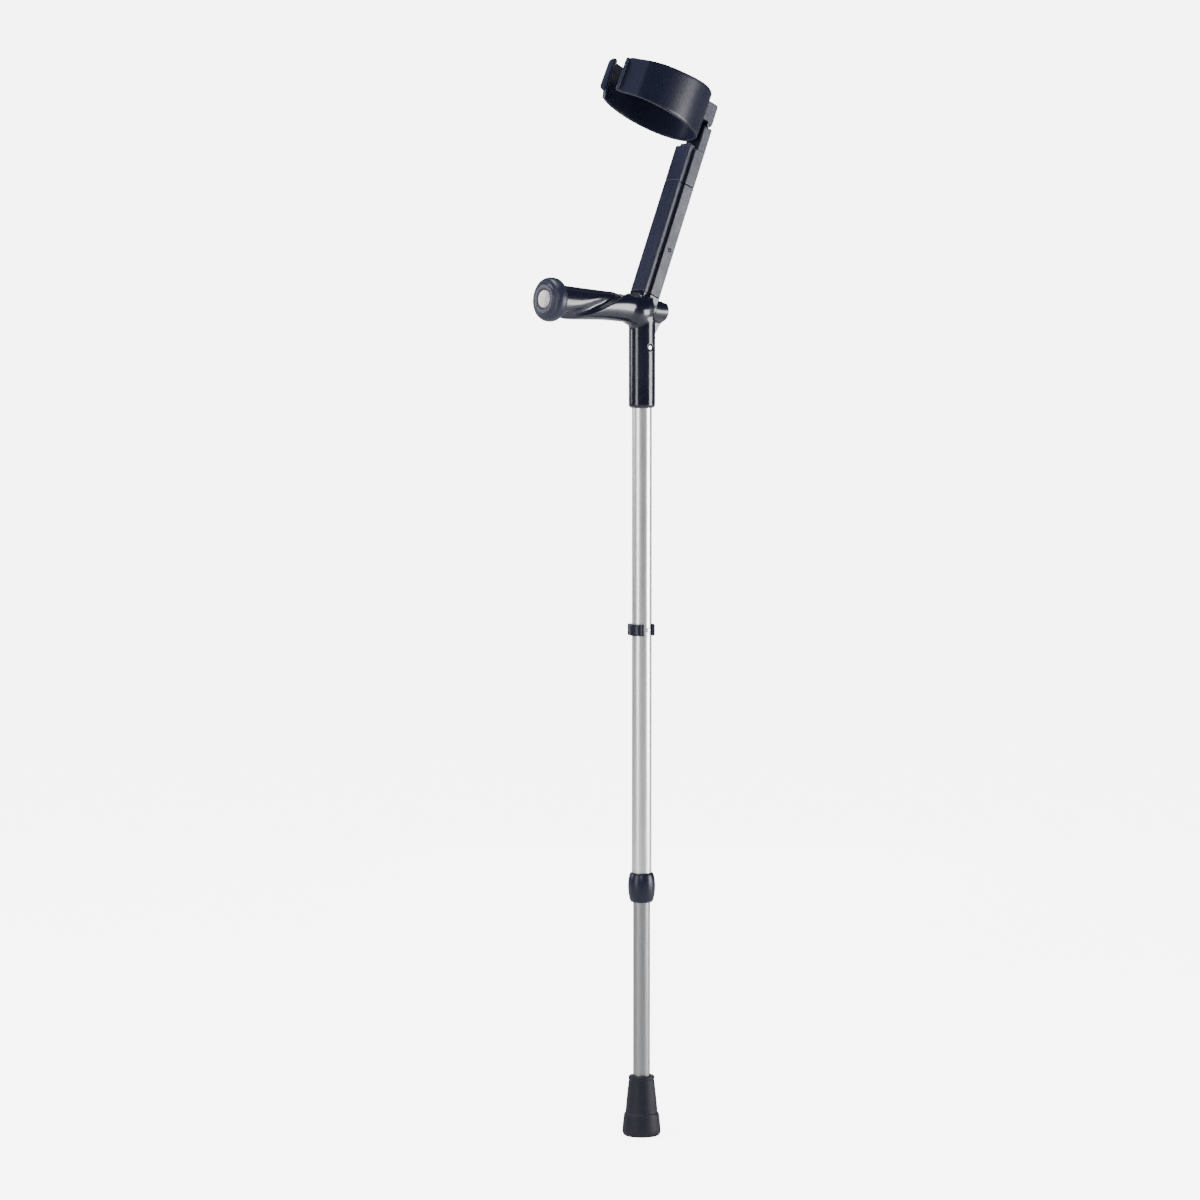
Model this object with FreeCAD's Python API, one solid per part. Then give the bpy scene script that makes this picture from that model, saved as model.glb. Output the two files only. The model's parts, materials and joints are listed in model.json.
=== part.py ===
import FreeCAD, Part
import os
from math import sin, cos, tan, radians, pi, sqrt
from FreeCAD import Vector as V, Rotation, Placement

os.makedirs("parts", exist_ok=True)

# Forearm crutch. Frame: origin at the centre of the ferrule's sole, +Z up the
# shaft, the hand grip points to -Y, the forearm post leans to +Y, and the
# adjustment pin goes in along X with its tip towards +X. Millimetres.

# ---- shaft
LOWER_R = 9.5            # lower tube outer radius
LOWER_WALL = 1.5
LOWER_Z0, LOWER_Z1 = 14.0, 644.0
UPPER_R = 11.0           # upper tube outer radius
UPPER_WALL = 1.2
UPPER_Z0, UPPER_Z1 = 269.5, 905.0
PIN_Z = 567.0            # height of the adjustment pin
HOLE_PITCH = 20.0
HOLE_R = 2.6
PIN_R = 2.5
STEPS_DOWN, STEPS_UP = 3, 9      # spare holes for a shorter / longer leg reach

# ---- ferrule
FERRULE_H = 68.0
FERRULE_SOLE_R = 21.6
FERRULE_TOP_R = 13.7
STEP_Z = 26.0

# ---- collar
COLLAR_Z0, COLLAR_Z1 = 262.8, 296.0

# ---- moulded handle
SLEEVE_R = 14.75
SLEEVE_Z0 = 813.0
SCREW_Z = 880.0
GRIP_Z = 922.0           # grip axis where it crosses the shaft
GRIP_RISE = 4.7          # degrees, grip rises towards its free end
GRIP_S0, GRIP_S1 = 16.0, 124.5
CORE_R = 6.0
KNOB_R = 24.25
KNOB_T = 16.5
BOSS_R = 12.0
BOSS_L = 30.0

# ---- forearm post and slider
POST_TILT = 22.4         # degrees from the shaft towards +Y
POST_Z = 925.0           # post axis where it crosses the shaft
POST_W = 12.0            # half width
POST_F = -13.5           # front face
POST_B = 11.5            # rear face
POST_U0, POST_U1 = 14.0, 145.7
GROOVE_V0, GROOVE_V1, GROOVE_D = -10.5, -3.5, 3.5
SLIDE_PITCH = 12.0
BUTTON_U = 60.0
BUTTON_R = 3.5
PLATE_TOP = 188.0
NECK_TOP = 192.0
SHOULDER_TOP = 216.8
PIVOT_U, PIVOT_V = 223.6, 4.8
BRACKET_B = 11.0        # rear face of the cuff bracket
PIVOT_R = 2.0

# ---- cuff
CUFF_TILT = 24.8
CUFF_Y, CUFF_Z = 9.6, 1135.1
CUFF_A, CUFF_B = 42.8, 65.5      # outer half axes of the oval
CUFF_WALL = 3.5
CUFF_H_FRONT, CUFF_H_REAR = 42.2, 54.5
TAB_ANGLE = 45.0         # half angle of the opening where the flat facets start
FOLD_X, FOLD_Y = 10.2, -61.2     # middle of the wall at the fold between facet and lip
LIP_ANGLE, LIP_L = 58.0, 5.0     # outward lean and length of the lip past the fold

Z = V(0, 0, 1)
X = V(1, 0, 0)


def cyl(r, h, p, d=Z):
    return Part.makeCylinder(r, h, V(*p) if isinstance(p, tuple) else p, d)


def box(x0, x1, y0, y1, z0, z1):
    return Part.makeBox(x1 - x0, y1 - y0, z1 - z0, V(x0, y0, z0))


def revolve(points, axis_p=V(0, 0, 0), axis_d=Z):
    # points are (radius, height) pairs about the local Z axis
    w = Part.makePolygon([V(r, 0, z) for r, z in points] + [V(points[0][0], 0, points[0][1])])
    s = Part.Face(w).revolve(V(0, 0, 0), Z, 360)
    return Part.Solid(s) if s.ShapeType != "Solid" else s


def fillet_pick(shape, radius, pick):
    edges = [e for e in shape.Edges if pick(e)]
    return shape.makeFillet(radius, edges) if edges else shape


def placed(shape, pl):
    s = shape.copy()
    s.transformShape(pl.toMatrix(), False)
    return s


post_pl = Placement(V(0, 0, POST_Z), Rotation(X, -POST_TILT))
cuff_pl = Placement(V(0, CUFF_Y, CUFF_Z), Rotation(X, -CUFF_TILT))
# local +Z of the grip frame runs from the shaft out to the knob, local +Y points up
grip_dir = V(0, -cos(radians(GRIP_RISE)), sin(radians(GRIP_RISE)))
grip_up = V(0, sin(radians(GRIP_RISE)), cos(radians(GRIP_RISE)))
grip_pl = Placement(V(0, 0, GRIP_Z), Rotation(V(-1, 0, 0), grip_up, grip_dir, "ZXY"))

out = {}

# ================= lower leg
rubber = revolve([(0, 0), (5.0, 0), (5.0, 1.6), (7.5, 1.6), (7.5, 0), (11.0, 0), (11.0, 1.6), (14.0, 1.6), (14.0, 0),
                  (FERRULE_SOLE_R - 4.6, 0), (FERRULE_SOLE_R - 2.2, 0.9), (FERRULE_SOLE_R - 0.6, 3.0), (FERRULE_SOLE_R, 6.0), (FERRULE_SOLE_R - 0.2, 8.0),
                  (19.5, STEP_Z - 1.5), (19.2, STEP_Z - 0.3), (18.6, STEP_Z), (17.9, STEP_Z + 0.4),
                  (FERRULE_TOP_R + 0.2, FERRULE_H - 4.0), (FERRULE_TOP_R + 0.8, FERRULE_H - 3.4),
                  (FERRULE_TOP_R + 0.8, FERRULE_H - 0.8), (FERRULE_TOP_R + 0.2, FERRULE_H), (0, FERRULE_H)])
rubber = rubber.cut(cyl(LOWER_R, FERRULE_H, (0, 0, LOWER_Z0 - 2.0)))
out["ferrule"] = rubber
out["ferrule_washer"] = cyl(LOWER_R - 0.1, 2.0, (0, 0, LOWER_Z0 - 2.0)).cut(cyl(2.2, 4, (0, 0, LOWER_Z0 - 3.0)))

lt = cyl(LOWER_R, LOWER_Z1 - LOWER_Z0, (0, 0, LOWER_Z0)).cut(cyl(LOWER_R - LOWER_WALL, 700, (0, 0, LOWER_Z0 - 1)))
for k in range(-STEPS_DOWN, STEPS_UP + 1):
    lt = lt.cut(cyl(HOLE_R, 30, V(-15, 0, PIN_Z - k * HOLE_PITCH), X))
out["lower_tube"] = lt

bush = cyl(9.72, 6.0, (0, 0, LOWER_Z1))
bush = fillet_pick(bush, 0.8, lambda e: e.BoundBox.ZMin > LOWER_Z1 + 5.9 and len(e.Vertexes) == 1)
bush = bush.fuse(cyl(LOWER_R - LOWER_WALL, 8.0, (0, 0, LOWER_Z1 - 8.0))).cut(cyl(6.2, 20, (0, 0, LOWER_Z1 - 9.0)))
out["lower_tube_bush"] = bush

# ================= upper tube, collar, clip
ut = cyl(UPPER_R, UPPER_Z1 - UPPER_Z0, (0, 0, UPPER_Z0)).cut(cyl(UPPER_R - UPPER_WALL, 700, (0, 0, UPPER_Z0 - 1)))
ut = ut.cut(cyl(HOLE_R, 30, V(-15, 0, PIN_Z), X)).cut(cyl(1.8, 30, V(-15, 0, SCREW_Z), X))
out["upper_tube"] = ut

col = revolve([(0, COLLAR_Z0), (11.0, COLLAR_Z0), (12.5, COLLAR_Z0 + 1.0), (13.3, COLLAR_Z0 + 3.0), (14.4, COLLAR_Z0 + 7.4), (15.1, COLLAR_Z0 + 12.5),
               (15.25, COLLAR_Z0 + 18.0), (15.1, COLLAR_Z0 + 22.5), (14.4, COLLAR_Z0 + 28.0), (13.1, COLLAR_Z0 + 32.4),
               (12.4, COLLAR_Z1), (0, COLLAR_Z1)])
col = col.cut(cyl(LOWER_R + 0.6, 10, (0, 0, COLLAR_Z0 - 1))).cut(cyl(12.0, UPPER_Z0 + 6.0 - COLLAR_Z0 - 2.6, (0, 0, COLLAR_Z0 + 2.6)))
col = col.cut(cyl(UPPER_R, 60, (0, 0, UPPER_Z0)))
out["collar"] = col
cb = cyl(11.9, UPPER_Z0 - COLLAR_Z0 - 2.6, (0, 0, COLLAR_Z0 + 2.6)).cut(cyl(LOWER_R + 0.08, 20, (0, 0, COLLAR_Z0)))
cb = cb.cut(box(-0.6, 0.6, 0, 15, COLLAR_Z0, UPPER_Z0 + 1))
out["collar_bush"] = cb

CLIP_H = 13.0
clip = cyl(14.2, CLIP_H, (0, 0, PIN_Z - CLIP_H / 2)).fuse(box(-16.5, -9.0, -8.0, 8.0, PIN_Z - CLIP_H / 2, PIN_Z + CLIP_H / 2))
clip = fillet_pick(clip, 2.2, lambda e: abs(e.BoundBox.XMax + 16.5) < 1e-3 and e.BoundBox.ZLength > 12)
clip = clip.cut(cyl(UPPER_R + 0.12, 40, (0, 0, PIN_Z - 20)))
mouth = Part.Face(Part.makePolygon([V(0, 0, 0), V(30, -30 * tan(radians(34)), 0), V(30, 30 * tan(radians(34)), 0), V(0, 0, 0)]))
mouth = placed(mouth.extrude(V(0, 0, 40)), Placement(V(0, 0, PIN_Z - 20), Rotation()))
clip = clip.cut(mouth)
lips = None
for sy in (-1, 1):
    lip = cyl(1.9, CLIP_H, V(12.9 * cos(radians(36)), sy * 12.9 * sin(radians(36)), PIN_Z - CLIP_H / 2))
    clip = clip.fuse(lip)
clip = clip.cut(cyl(UPPER_R + 0.12, 40, (0, 0, PIN_Z - 20))).cut(cyl(PIN_R, 30, V(-14.5, 0, PIN_Z), X))
out["locking_clip"] = clip.removeSplitter()
pin = cyl(PIN_R, 26.5, V(-14.5, 0, PIN_Z), X)
pin = fillet_pick(pin, 1.0, lambda e: e.BoundBox.XMin > 11.9 and len(e.Vertexes) == 1)
out["locking_pin"] = pin

# ================= handle hub
hub = cyl(SLEEVE_R, UPPER_Z1 + 12 - SLEEVE_Z0, (0, 0, SLEEVE_Z0))
hub = fillet_pick(hub, 3.8, lambda e: e.BoundBox.ZMax < SLEEVE_Z0 + 0.1 and len(e.Vertexes) == 1)
dome = Part.makeSphere(18.0, V(0, 0, 918.0))
arm = cyl(15.4, 24.0, V(0, 0, GRIP_Z) - grip_dir * 8.0, grip_dir)
boss = cyl(BOSS_R, BOSS_L, V(0, 0, GRIP_Z), grip_dir * -1)
boss = fillet_pick(boss, 1.6, lambda e: e.BoundBox.YMin > BOSS_L - 3 and len(e.Vertexes) == 1)
block = placed(box(-POST_W, POST_W, POST_F, POST_B, -8.0, POST_U0), post_pl)
gusset = Part.Face(Part.makePolygon([V(-2.5, 8, 880), V(-2.5, 14.5, 884), V(-2.5, 17.5, 893), V(-2.5, 25, 910), V(-2.5, 8, 915), V(-2.5, 8, 880)])).extrude(V(5, 0, 0))
hub = hub.fuse([dome, arm, boss, block, gusset])
cutbox = placed(box(-40, 40, -60, 60, GRIP_S0, GRIP_S0 + 60), grip_pl)
hub = hub.cut(cutbox)
hub = hub.cut(cyl(UPPER_R, UPPER_Z1 - SLEEVE_Z0 + 1, (0, 0, SLEEVE_Z0 - 1)))
hub = hub.cut(cyl(CORE_R, 60.0, V(0, 0, GRIP_Z) - grip_dir * (BOSS_L - 4.0), grip_dir))
hub = hub.cut(cyl(9.0, 4.0, V(0, 0, GRIP_Z) - grip_dir * BOSS_L, grip_dir))
hub = hub.cut(cyl(1.8, 60, V(-30, 0, SCREW_Z), X))
hub = hub.cut(cyl(3.5, 10, V(12.4, 0, SCREW_Z), X)).cut(cyl(3.5, 10, V(-22.4, 0, SCREW_Z), X))
hub = hub.cut(placed(box(-POST_W, POST_W, POST_F, POST_B, POST_U0, POST_U0 + 30), post_pl))
hub = hub.removeSplitter()
out["handle_hub"] = hub

out["grip_core"] = cyl(CORE_R, BOSS_L - 4.0 + 122.0, V(0, 0, GRIP_Z) - grip_dir * (BOSS_L - 4.0), grip_dir).cut(
    cyl(CORE_R - 1.5, 200, V(0, 0, GRIP_Z) - grip_dir * 40, grip_dir))
rc = cyl(9.0, 3.4, V(0, 0, GRIP_Z) - grip_dir * (BOSS_L - 0.6), grip_dir)
rc = rc.fuse(cyl(4.5, 10.0, V(0, 0, GRIP_Z) - grip_dir * (BOSS_L - 4.0), grip_dir))
out["rear_cap"] = rc

# sleeve fastener: screw from +X, barrel nut from -X
sc = cyl(2.7, 1.7, V(12.4, 0, SCREW_Z), X)
sc = fillet_pick(sc, 0.8, lambda e: e.BoundBox.XMin > 14.0 and len(e.Vertexes) == 1)
sc = sc.cut(box(13.5, 16, -0.4, 0.4, SCREW_Z - 5, SCREW_Z + 5))
sc = sc.fuse(cyl(1.2, 22.0, V(-9.6, 0, SCREW_Z), X))
out["sleeve_screw"] = sc
nut = cyl(3.0, 1.6, V(-14.0, 0, SCREW_Z), X).fuse(cyl(1.8, 10.0, V(-12.4, 0, SCREW_Z), X)).cut(cyl(1.2, 12.0, V(-9.6, 0, SCREW_Z), X))
out["sleeve_nut"] = nut

# ================= grip
def oval(a, b, s, dy=0.0, n=24, p=2.3):
    pts = []
    for i in range(n):
        t = 2 * pi * i / n
        c, q = cos(t), sin(t)
        m = (abs(c) ** p + abs(q) ** p) ** (-1.0 / p)
        pts.append(grip_pl.multVec(V(a * m * c, b * m * q + dy, s)))
    bs = Part.BSplineCurve()
    bs.interpolate(pts, PeriodicFlag=True)
    return Part.Wire([bs.toShape()])


sections = [(GRIP_S0, 13.6, 15.6, 0.0), (34, 13.6, 15.2, 0.0), (60, 14.6, 15.2, 0.0), (92, 16.2, 16.4, 0.0), (116, 17.0, 17.4, 0.0), (GRIP_S1, 17.4, 17.6, 0.0)]
grip = Part.makeLoft([oval(a, b, s, dy) for s, a, b, dy in sections], True, False)
grip = grip.cut(cyl(CORE_R, 140, V(0, 0, GRIP_Z) - grip_dir * 10, grip_dir))
out["hand_grip"] = grip
out["core_insert"] = cyl(CORE_R - 1.5, 16.0, V(0, 0, GRIP_Z) + grip_dir * 106.0, grip_dir).cut(cyl(2.5, 20, V(0, 0, GRIP_Z) + grip_dir * 104.0, grip_dir))

K = GRIP_S1
knob = revolve([(0, 0), (20.5, 0), (22.8, 0.9), (24.0, 3.2), (KNOB_R, 6.0), (KNOB_R, 9.0), (23.7, 11.6), (22.3, 13.6), (20.2, 14.7), (17.6, 15.0),
                (16.8, 15.8), (15.2, KNOB_T), (10.3, KNOB_T), (10.3, KNOB_T - 2.2), (0, KNOB_T - 2.2)])
knob = knob.cut(cyl(2.6, 30, (0, 0, -5))).cut(cyl(5.4, 10, (0, 0, KNOB_T - 5.8)))
knob = placed(knob, Placement(V(0, 0, 0), Rotation()).multiply(grip_pl).multiply(Placement(V(0, 0, K), Rotation())))
out["grip_knob"] = knob
ks = cyl(5.2, 3.2, (0, 0, KNOB_T - 5.8)).fuse(cyl(2.5, KNOB_T - 5.8 + 16.0, (0, 0, -16.0)))
out["knob_screw"] = placed(ks, grip_pl.multiply(Placement(V(0, 0, K), Rotation())))
rf = revolve([(0, KNOB_T - 2.2), (10.0, KNOB_T - 2.2), (10.0, KNOB_T - 0.5), (9.2, KNOB_T + 0.1), (4.0, KNOB_T + 0.5), (0, KNOB_T + 0.6)])
out["reflector"] = placed(rf, grip_pl.multiply(Placement(V(0, 0, K), Rotation())))

# ================= forearm post
def post_section(u0, u1, f=POST_F):
    b = box(-POST_W, POST_W, f, POST_B, u0, u1)
    b = fillet_pick(b, 1.6, lambda e: e.BoundBox.ZLength > (u1 - u0) * 0.9)
    for sx in (-1, 1):
        x0, x1 = (POST_W - GROOVE_D, POST_W + 2) if sx > 0 else (-POST_W - 2, -POST_W + GROOVE_D)
        b = b.cut(box(x0, x1, GROOVE_V0, GROOVE_V1, u0 - 1, u1 + 1))
    return b


BAR_W, BAR_F, BAR_B = 6.2, -7.2, 6.2
GAP = 0.3
post = post_section(POST_U0, POST_U1)
post = post.cut(box(-BAR_W - GAP, BAR_W + GAP, BAR_F - GAP, BAR_B + GAP, 30.0, POST_U1 + 1))
for k in range(7):
    post = post.cut(cyl(BUTTON_R + 0.3, 12, V(0, 2.0, BUTTON_U + k * SLIDE_PITCH), V(0, 1, 0)))
out["forearm_post"] = placed(post, post_pl)

# ================= forearm slider
S0 = POST_U1 + 0.3
sl = post_section(S0, PLATE_TOP)
neck = box(-POST_W, POST_W, -1.5, POST_B, PLATE_TOP - 1.0, SHOULDER_TOP)
neck = fillet_pick(neck, 1.6, lambda e: e.BoundBox.YMin > POST_B - 0.01 and e.BoundBox.ZLength > 20)
neck = neck.fuse(box(-POST_W + GROOVE_D, POST_W - GROOVE_D, GROOVE_V0, -1.0, PLATE_TOP - 1.0, NECK_TOP))
tongue = box(-4.0, 4.0, PIVOT_V - 5.0, PIVOT_V + 5.0, SHOULDER_TOP - 1.0, PIVOT_U).fuse(cyl(5.0, 8.0, V(-4.0, PIVOT_V, PIVOT_U), X))
bar = box(-BAR_W, BAR_W, BAR_F, BAR_B, 42.0, S0 + 1.0)
sl = sl.fuse([neck, tongue, bar])
sl = sl.cut(box(-4.7, 4.7, -5.7, 4.7, 41.0, 122.0))
sl = sl.cut(cyl(BUTTON_R + 0.1, 10, V(0, 2.0, BUTTON_U), V(0, 1, 0)))
sl = sl.cut(cyl(PIVOT_R + 0.05, 20, V(-10, PIVOT_V, PIVOT_U), X)).removeSplitter()
out["forearm_slider"] = placed(sl, post_pl)

btn = cyl(BUTTON_R, 7.6, V(0, 3.4, BUTTON_U), V(0, 1, 0))
btn = fillet_pick(btn, 1.2, lambda e: e.BoundBox.YMin > 10.9 and len(e.Vertexes) == 1)
btn = btn.fuse(cyl(4.3, 1.2, V(0, 3.1, BUTTON_U), V(0, 1, 0)))
out["forearm_button"] = placed(btn, post_pl)
T = 0.6
spring = box(-3.5, 3.5, 3.1 - T, 3.1, BUTTON_U - 5, 84.0)
spring = spring.fuse(box(-3.5, 3.5, -5.6, -5.6 + T, BUTTON_U - 5, 84.0))
r_out = (3.1 + 5.6) / 2
bend = cyl(r_out, 7.0, V(-3.5, 3.1 - r_out, 84.0), X).cut(cyl(r_out - T, 9.0, V(-4.5, 3.1 - r_out, 84.0), X)).cut(box(-5, 5, -8, 8, 70, 84.0))
spring = spring.fuse(bend).removeSplitter()
out["button_spring"] = placed(spring, post_pl)

# ================= cuff
def ell(a, b, t):
    return V(a * cos(radians(t)), b * sin(radians(t)), 0)


def ell_normal(a, b, t):
    n = V(cos(radians(t)) / a, sin(radians(t)) / b, 0)
    n.normalize()
    return n


t0, t1 = -90.0 + TAB_ANGLE, 270.0 - TAB_ANGLE
N = 40
outer_pts = [ell(CUFF_A, CUFF_B, t0 + (t1 - t0) * i / N) for i in range(N + 1)]
inner_pts = [outer_pts[i] - ell_normal(CUFF_A, CUFF_B, t0 + (t1 - t0) * i / N) * CUFF_WALL for i in range(N + 1)]
d_near = V(CUFF_A * sin(radians(t0)), -CUFF_B * cos(radians(t0)), 0)
d_near.normalize()
d_far = V(-d_near.x, d_near.y, 0)


def spline(pts, ta, tb):
    b = Part.BSplineCurve()
    b.interpolate(pts, InitialTangent=ta, FinalTangent=tb)
    return b.toShape()


# the flat inward facet and the outward lip of each tab, near side; the far side is its mirror image
base = (outer_pts[0] + inner_pts[0]) * 0.5
fold = V(FOLD_X, FOLD_Y, 0)
d1 = fold - base
d1.normalize()
d2 = V(sin(radians(LIP_ANGLE)), -cos(radians(LIP_ANGLE)), 0)
n1, n2 = V(-d1.y, d1.x, 0), V(-d2.y, d2.x, 0)
miter = (n1 + n2) * (CUFF_WALL / 2 / (1 + n1.dot(n2)))
tip = fold + d2 * LIP_L


def both(p):
    return p, V(-p.x, p.y, 0)


side_sign = 1 if miter.dot(V(1, -1, 0)) > 0 else -1
fo_n, fo_f = both(fold + miter * side_sign)
fi_n, fi_f = both(fold - miter * side_sign)
no, fo = both(tip + n2 * (side_sign * CUFF_WALL / 2))
ni, fi = both(tip - n2 * (side_sign * CUFF_WALL / 2))
mn, mf = both(tip + d2 * (CUFF_WALL / 2))
line = Part.makeLine
wire = Part.Wire([spline(outer_pts, d_near * -1, d_far), line(outer_pts[-1], fo_f), line(fo_f, fo), Part.Arc(fo, mf, fi).toShape(),
                  line(fi, fi_f), line(fi_f, inner_pts[-1]), spline(inner_pts[::-1], d_far * -1, d_near),
                  line(inner_pts[0], fi_n), line(fi_n, ni), Part.Arc(ni, mn, no).toShape(), line(no, fo_n), line(fo_n, outer_pts[0])])
band = Part.Face(wire).extrude(V(0, 0, CUFF_H_REAR))
yf = min(fo.y, mf.y, fi.y) - 0.01
H0, H1 = CUFF_H_FRONT, CUFF_H_REAR
top = Part.BSplineCurve()
top.interpolate([V(-80, 46.0, H1), V(-80, 24.0, H1 - 1.7), V(-80, 0.0, H1 - 4.9), V(-80, -22.0, H1 - 7.0), V(-80, -42.0, H1 - 9.6), V(-80, yf + 9.0, H0)],
                InitialTangent=V(0, -1, 0), FinalTangent=V(0, -1, -0.22))
p_end = V(-80, yf + 9.0, H0)
e_top = top.toShape()
side = Part.Wire([Part.makeLine(V(-80, yf + 7.0, 0), V(-80, 80, 0)), Part.makeLine(V(-80, 80, 0), V(-80, 80, H1)),
                  Part.makeLine(V(-80, 80, H1), V(-80, 46.0, H1)), e_top,
                  Part.Arc(p_end, V(-80, yf + 2.4, H0 - 3.2), V(-80, yf, H0 - 9.5)).toShape(),
                  Part.makeLine(V(-80, yf, H0 - 9.5), V(-80, yf, 7.0)),
                  Part.Arc(V(-80, yf, 7.0), V(-80, yf + 2.05, 2.05), V(-80, yf + 7.0, 0)).toShape()])
band = band.common(Part.Face(side).extrude(V(160, 0, 0)))

# bracket behind the cuff, in the post's frame, cut to the cuff's outer wall
BW = 10.0
br = box(-BW, BW, -7.5, BRACKET_B, PIVOT_U - 4.1, 246.0)
br = br.cut(box(-BW - 1, BW + 1, PIVOT_V, BRACKET_B + 1, PIVOT_U - 8, PIVOT_U))
br = br.fuse(cyl(BRACKET_B - PIVOT_V, 2 * BW, V(-BW, PIVOT_V, PIVOT_U), X).common(box(-BW, BW, PIVOT_V - 2, BRACKET_B + 1, PIVOT_U - 8, PIVOT_U + 1)))
br = br.removeSplitter()
br = fillet_pick(br, 3.2, lambda e: e.BoundBox.ZMin > 245.9 and e.BoundBox.YMin > BRACKET_B - 0.01)
br = br.cut(box(-4.3, 4.3, -1.8, POST_B + 1, PIVOT_U - 9, PIVOT_U + 5.8))
br = br.cut(cyl(PIVOT_R, 24, V(-12, PIVOT_V, PIVOT_U), X))
br = placed(br, post_pl)
full_outer = Part.Wire([spline(outer_pts, d_near * -1, d_far), Part.makeLine(outer_pts[-1], outer_pts[0])])
plug = placed(Part.Face(full_outer).extrude(V(0, 0, 140)), cuff_pl.multiply(Placement(V(0, 0, -40), Rotation())))
br = br.cut(plug)

rivets = None
shanks = None
for rz in (34.5, 46.5):
    yi = CUFF_B - CUFF_WALL - 0.2
    head = Part.makeSphere(4.0, V(0, yi + 2.4, rz)).common(box(-6, 6, yi - 4, yi, rz - 6, rz + 6))
    shank = cyl(1.6, 9.4 if rz > 40 else 5.8, V(0, yi - 0.8, rz), V(0, 1, 0))
    r = head.fuse(shank)
    rivets = r if rivets is None else rivets.fuse(r)
    shanks = shank if shanks is None else shanks.fuse(shank)
rivets = placed(rivets, cuff_pl)
shanks = placed(shanks, cuff_pl)
band = placed(band, cuff_pl)
out["cuff"] = band.cut(shanks)
out["cuff_bracket"] = br.cut(shanks)
out["cuff_rivets"] = rivets
out["cuff_pivot_pin"] = placed(cyl(PIVOT_R, 18.0, V(-9.0, PIVOT_V, PIVOT_U), X), post_pl)

for name, shape in out.items():
    sols = shape.Solids
    if len(sols) == 1:
        shape = sols[0]
    else:
        shape = Part.makeCompound(sols)
    bb = shape.BoundBox
    print("%-18s solids %d valid %s vol %9.1f  x %.1f..%.1f y %.1f..%.1f z %.1f..%.1f" % (
        name, len(sols), shape.isValid(), shape.Volume, bb.XMin, bb.XMax, bb.YMin, bb.YMax, bb.ZMin, bb.ZMax))
    shape.exportStep("parts/%s.step" % name)
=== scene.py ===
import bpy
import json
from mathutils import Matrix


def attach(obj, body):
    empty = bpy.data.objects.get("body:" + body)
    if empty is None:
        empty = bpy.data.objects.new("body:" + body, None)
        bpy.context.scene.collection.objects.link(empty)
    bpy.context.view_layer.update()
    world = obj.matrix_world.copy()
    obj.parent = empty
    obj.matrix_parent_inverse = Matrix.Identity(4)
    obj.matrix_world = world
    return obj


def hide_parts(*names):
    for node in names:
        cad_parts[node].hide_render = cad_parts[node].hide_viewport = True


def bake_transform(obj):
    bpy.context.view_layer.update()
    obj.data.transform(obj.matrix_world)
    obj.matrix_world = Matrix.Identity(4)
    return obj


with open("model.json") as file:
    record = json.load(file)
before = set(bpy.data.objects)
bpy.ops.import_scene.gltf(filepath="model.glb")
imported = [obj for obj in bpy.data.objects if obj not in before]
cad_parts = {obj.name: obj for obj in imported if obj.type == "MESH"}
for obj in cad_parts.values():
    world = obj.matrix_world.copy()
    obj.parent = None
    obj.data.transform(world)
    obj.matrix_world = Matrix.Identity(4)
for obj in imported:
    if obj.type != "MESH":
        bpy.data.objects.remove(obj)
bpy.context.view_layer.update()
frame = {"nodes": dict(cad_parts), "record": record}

import bpy
import bmesh
import json
import math
import numpy as np
from math import sin, cos, tan, radians, pi, sqrt
from mathutils import Vector, Matrix

MM = 0.001
rng = np.random.default_rng(7)

# ------------------------------------------------------------------ object frames (millimetres)
GRIP_Z, GRIP_RISE = 922.0, radians(4.7)
G_O = np.array([0.0, 0.0, GRIP_Z])
G_D = np.array([0.0, -cos(GRIP_RISE), sin(GRIP_RISE)])       # out along the grip
G_U = np.array([0.0, sin(GRIP_RISE), cos(GRIP_RISE)])        # up across the grip
G_X = np.array([1.0, 0.0, 0.0])
PT = radians(22.4)
P_O = np.array([0.0, 0.0, 925.0])
P_D = np.array([0.0, sin(PT), cos(PT)])                      # up along the forearm post
P_V = np.array([0.0, cos(PT), -sin(PT)])                     # towards the post's rear
CT = radians(24.8)
C_O = np.array([0.0, 9.6, 1135.1])
C_D = np.array([0.0, sin(CT), cos(CT)])
C_V = np.array([0.0, cos(CT), -sin(CT)])


def grip_pt(x, w, s):
    return G_O + np.outer(np.ravel(x), G_X) + np.outer(np.ravel(w), G_U) + np.outer(np.ravel(s), G_D)


def post_pt(x, v, u):
    return P_O + np.outer(np.ravel(x), G_X) + np.outer(np.ravel(v), P_V) + np.outer(np.ravel(u), P_D)


def cuff_pt(x, y, z):
    return C_O + np.outer(np.ravel(x), G_X) + np.outer(np.ravel(y), C_V) + np.outer(np.ravel(z), C_D)


def world_pt(x, y, z):
    return np.stack([np.ravel(x), np.ravel(y), np.ravel(z)], 1).astype(float)


# ------------------------------------------------------------------ mesh helpers
def make_mesh(name, verts, faces, smooth=True, sharp_deg=None):
    me = bpy.data.meshes.new(name)
    me.from_pydata((np.asarray(verts) * MM).tolist(), [], [list(map(int, f)) for f in faces])
    me.validate()
    bm = bmesh.new()
    bm.from_mesh(me)
    bmesh.ops.remove_doubles(bm, verts=bm.verts, dist=1e-7)
    bmesh.ops.recalc_face_normals(bm, faces=bm.faces)
    bm.to_mesh(me)
    bm.free()
    ob = bpy.data.objects.new(name, me)
    bpy.context.scene.collection.objects.link(ob)
    if smooth:
        for p in me.polygons:
            p.use_smooth = True
        if sharp_deg is not None:
            bm = bmesh.new()
            bm.from_mesh(me)
            for e in bm.edges:
                if len(e.link_faces) == 2 and e.calc_face_angle(0.0) > radians(sharp_deg):
                    e.smooth = False
            bm.to_mesh(me)
            bm.free()
    return ob


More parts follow.
